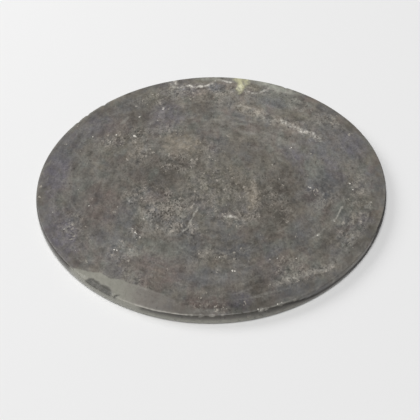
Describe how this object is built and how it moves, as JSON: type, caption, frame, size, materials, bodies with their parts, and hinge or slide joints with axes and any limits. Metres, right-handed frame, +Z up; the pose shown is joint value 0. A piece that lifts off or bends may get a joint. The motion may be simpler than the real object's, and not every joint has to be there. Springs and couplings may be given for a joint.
{
  "type": "massage stone",
  "caption": "Thin round hand-ground disc of dark stone for hot or cold massage, with a lightly crowned top, rounded rim and flat underside.",
  "frame": {"origin": "middle of the flat underside", "axes": "+Z up through the thickness of the disc, -Y towards the worn front edge with the re-ground flat to its left, +X to the right"},
  "size_m": [0.1604, 0.1606, 0.006],
  "materials": {
    "basalt": "honed and lightly polished dark grey-brown natural stone, mottled, finely pitted, with pale veins"
  },
  "bodies": {
    "root": {"stone_disc": "basalt"}
  },
  "joints": []
}
